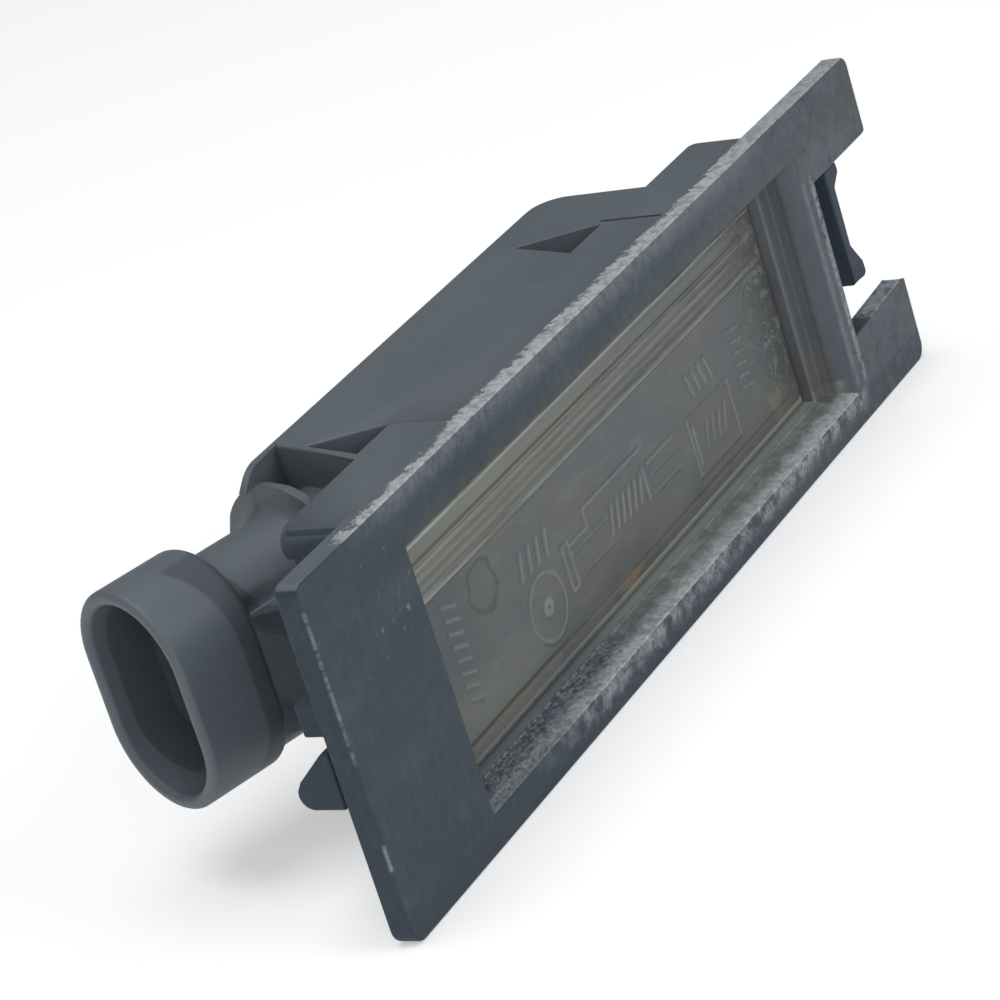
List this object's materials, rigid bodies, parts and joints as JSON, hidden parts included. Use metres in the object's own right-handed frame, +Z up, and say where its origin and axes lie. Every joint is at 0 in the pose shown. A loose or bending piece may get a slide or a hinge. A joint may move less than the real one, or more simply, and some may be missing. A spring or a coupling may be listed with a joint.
{
  "type": "number plate lamp",
  "caption": "Long narrow flange with a recessed ribbed lens, a festoon bulb behind it, a sprung end latch and an angled oval plug socket.",
  "frame": {"origin": "centre of the flange outline, on the flange's rear face, which seats on the body panel", "axes": "+X along the flange towards the latch and notch, +Z up across the flange, +Y back through the panel into the car body; the lens faces -Y"},
  "size_m": [0.0874, 0.0257, 0.026],
  "materials": {
    "housing_plastic": "mid blue-grey moulded plastic, smooth behind the flange, weathered, speckled and scuffed pale on the flange",
    "lens_plastic": "clear plastic gone dull and nearly opaque, grey with a yellow-green tint, dirt film and ribs",
    "contact_brass": "stamped strip, slightly tarnished",
    "bulb_glass": "thin clear glass",
    "cap_metal": "drawn metal cap, satin",
    "lead_wire": "drawn wire",
    "filament_metal": "dark drawn wire coil"
  },
  "bodies": {
    "root": {"housing": "housing_plastic", "lens": "lens_plastic", "contact_left": "contact_brass", "contact_right": "contact_brass", "bulb_glass": "bulb_glass", "cap_left": "cap_metal", "cap_right": "cap_metal", "lead_left": "lead_wire", "lead_right": "lead_wire", "filament": "filament_metal"}
  },
  "joints": []
}
